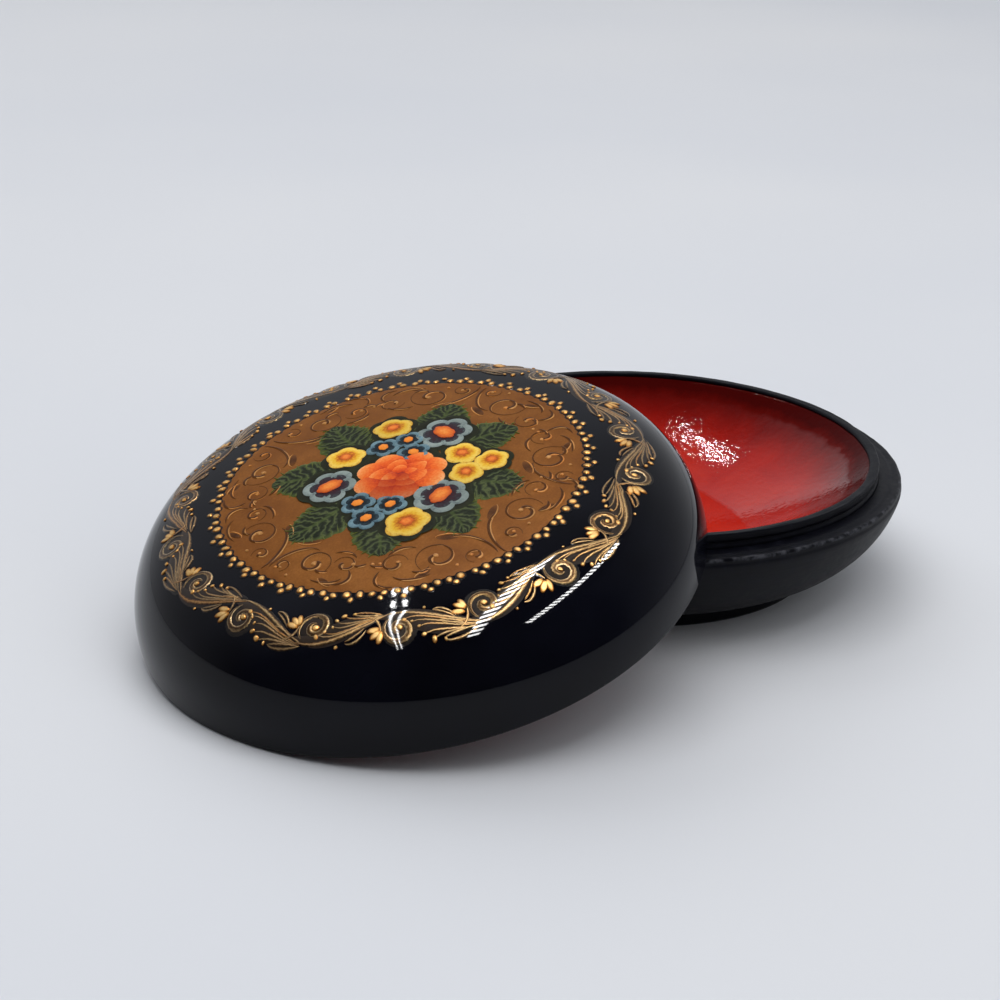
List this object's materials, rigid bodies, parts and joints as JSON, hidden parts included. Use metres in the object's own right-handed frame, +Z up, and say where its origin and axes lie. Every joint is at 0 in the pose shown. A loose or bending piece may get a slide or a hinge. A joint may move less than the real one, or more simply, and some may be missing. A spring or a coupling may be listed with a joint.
{
  "type": "round lacquer box",
  "caption": "Round papier-mache box in black lacquer with red lining; its domed painted lid is off and leans on the base's collar.",
  "frame": {"origin": "centre of the foot's underside, on the surface the box stands on", "axes": "+Z up along the base's axis, -X from the base towards the lid, so the lean lies in the XZ plane"},
  "size_m": [0.1572, 0.1, 0.0419],
  "materials": {
    "black_lacquer": "polished black lacquer over papier-mache",
    "red_lacquer": "glossy red lacquer, brushed on",
    "bronze_ground": "bronze powder paint under clear lacquer",
    "umber_paint": "umber and gold brush strokes",
    "gold_paint": "raised gold paint under clear lacquer",
    "green_paint": "dark green brush strokes",
    "red_paint": "vermilion brush strokes",
    "orange_paint": "orange brush strokes",
    "yellow_paint": "yellow brush strokes",
    "grey_paint": "grey-blue brush strokes",
    "blue_paint": "blue brush strokes"
  },
  "bodies": {
    "base": {"base_bowl": "black_lacquer", "base_collar": "black_lacquer", "foot_disc": "black_lacquer", "base_lining": "red_lacquer"},
    "lid": {"lid_shell": "black_lacquer", "lid_lining": "red_lacquer", "medallion_ground": "bronze_ground", "medallion_scrolls": "umber_paint", "bead_row": "gold_paint", "bead_tips": "gold_paint", "border_vine": "gold_paint", "border_volutes": "gold_paint", "border_leaves": "gold_paint", "border_dots": "gold_paint", "bouquet_leaves": "green_paint", "rose_petals": "red_paint", "rose_heart": "orange_paint", "yellow_blossoms": "yellow_paint", "grey_blossoms": "grey_paint", "blue_blossoms": "blue_paint", "blossom_eyes": "orange_paint"}
  },
  "joints": [
    {"name": "lid_lift", "type": "slide", "parent": "base", "child": "lid", "axis": [0, 0, 1], "range_m": [0, 0.06]}
  ]
}
